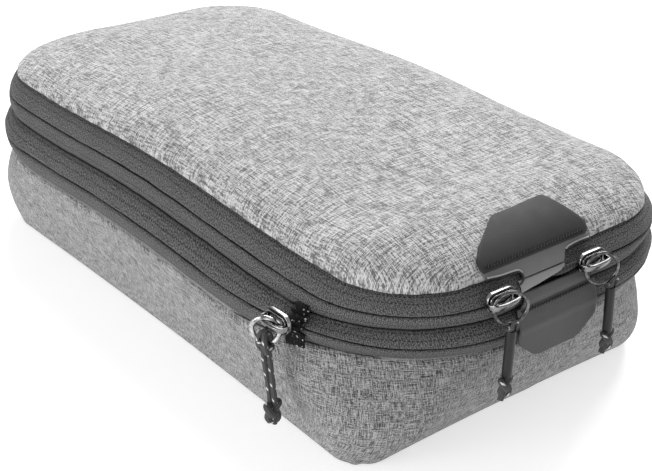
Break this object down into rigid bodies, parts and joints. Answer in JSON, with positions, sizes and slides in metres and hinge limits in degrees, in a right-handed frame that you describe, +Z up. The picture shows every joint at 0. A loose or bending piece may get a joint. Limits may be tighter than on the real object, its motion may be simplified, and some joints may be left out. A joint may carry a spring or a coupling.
{
  "type": "packing cube",
  "caption": "Stuffed clamshell packing cube with a zip round the lid, a compression zip below it, tabs at the mouth and swinging cord pulls.",
  "frame": {"origin": "middle of the base panel's underside, on the surface that the cube stands on", "axes": "+X across, +Y along the length from the front side with the tabs to the rear side with the lid's fold, +Z up"},
  "size_m": [0.2156, 0.3603, 0.1007],
  "materials": {
    "lid_weave": "light heather grey plain weave with a coated back",
    "wall_weave": "heather grey plain weave, slightly darker",
    "lining": "smooth light grey lining weave",
    "zip_tape": "dark grey ribbed tape with stitch rows",
    "nylon_coil": "black moulded nylon coil",
    "seam_binding": "black woven binding",
    "black_webbing": "black stitched webbing",
    "tab_sheet": "smooth dark grey coated sheet, matt",
    "gunmetal": "dark polished die-cast metal with bright edges",
    "braid": "dark grey braided cord with reflective flecks",
    "rubber_sleeve": "smooth black soft tube"
  },
  "bodies": {
    "tub": {"base_panel": "wall_weave", "tub_wall": "wall_weave", "base_seam_binding": "seam_binding", "compression_zip_tape_lower": "zip_tape", "compression_zip_coil_lower": "nylon_coil", "expansion_gusset": "lining"},
    "mid_band": {"compression_zip_tape_upper": "zip_tape", "compression_zip_coil_upper": "nylon_coil", "compression_zip_end_tab": "black_webbing", "mid_seam_binding": "seam_binding", "main_zip_tape_lower": "zip_tape", "main_zip_coil_lower": "nylon_coil", "front_flap": "tab_sheet"},
    "lid": {"main_zip_tape_upper": "zip_tape", "main_zip_coil_upper": "nylon_coil", "lid_seam_binding": "seam_binding", "lid_panel": "lid_weave", "lid_tab": "tab_sheet"},
    "main_left_slider": {"main_left_slider": "gunmetal"},
    "main_left_ring": {"main_left_ring": "gunmetal"},
    "main_left_pull": {"main_left_cord": "braid", "main_left_sleeve": "rubber_sleeve", "main_left_knot": "braid"},
    "main_right_slider": {"main_right_slider": "gunmetal"},
    "main_right_ring": {"main_right_ring": "gunmetal"},
    "main_right_pull": {"main_right_cord": "braid", "main_right_sleeve": "rubber_sleeve", "main_right_knot": "braid"},
    "compression_slider": {"compression_slider": "gunmetal"},
    "compression_ring": {"compression_ring": "gunmetal"},
    "compression_pull": {"compression_hitch": "braid", "compression_cord": "braid", "compression_knot": "braid"}
  },
  "joints": [
    {"name": "compression_expand", "type": "slide", "parent": "tub", "child": "mid_band", "axis": [0, 0, 1], "range_m": [0, 0.06], "deforming": ["expansion_gusset"]},
    {"name": "lid_open", "type": "hinge", "parent": "mid_band", "child": "lid", "pos_m": [0, 0.1728, 0.0747], "axis": [-1, 0, 0], "range_deg": [0, 170]},
    {"name": "main_left_travel", "type": "slide", "parent": "mid_band", "child": "main_left_slider", "axis": [-1, 0, 0], "range_m": [0, 0.014]},
    {"name": "main_left_ring_swing", "type": "hinge", "parent": "main_left_slider", "child": "main_left_ring", "pos_m": [-0.036, -0.1805, 0.079], "axis": [-1, 0, 0], "range_deg": [0, 150]},
    {"name": "main_left_pull_sway", "type": "hinge", "parent": "main_left_ring", "child": "main_left_pull", "pos_m": [-0.036, -0.1805, 0.06745], "axis": [0, 1, 0], "range_deg": [-40, 40]},
    {"name": "main_right_travel", "type": "slide", "parent": "mid_band", "child": "main_right_slider", "axis": [1, 0, 0], "range_m": [0, 0.014]},
    {"name": "main_right_ring_swing", "type": "hinge", "parent": "main_right_slider", "child": "main_right_ring", "pos_m": [0.018, -0.1805, 0.079], "axis": [-1, 0, 0], "range_deg": [0, 150]},
    {"name": "main_right_pull_sway", "type": "hinge", "parent": "main_right_ring", "child": "main_right_pull", "pos_m": [0.018, -0.1805, 0.06745], "axis": [0, 1, 0], "range_deg": [-40, 40]},
    {"name": "compression_travel", "type": "slide", "parent": "tub", "child": "compression_slider", "axis": [0, 1, 0], "range_m": [0, 0.2]},
    {"name": "compression_ring_swing", "type": "hinge", "parent": "compression_slider", "child": "compression_ring", "pos_m": [-0.109, -0.114, 0.0645], "axis": [0, 1, 0], "range_deg": [0, 150]},
    {"name": "compression_pull_sway", "type": "hinge", "parent": "compression_ring", "child": "compression_pull", "pos_m": [-0.109, -0.114, 0.05295], "axis": [1, 0, 0], "range_deg": [-40, 40]}
  ]
}
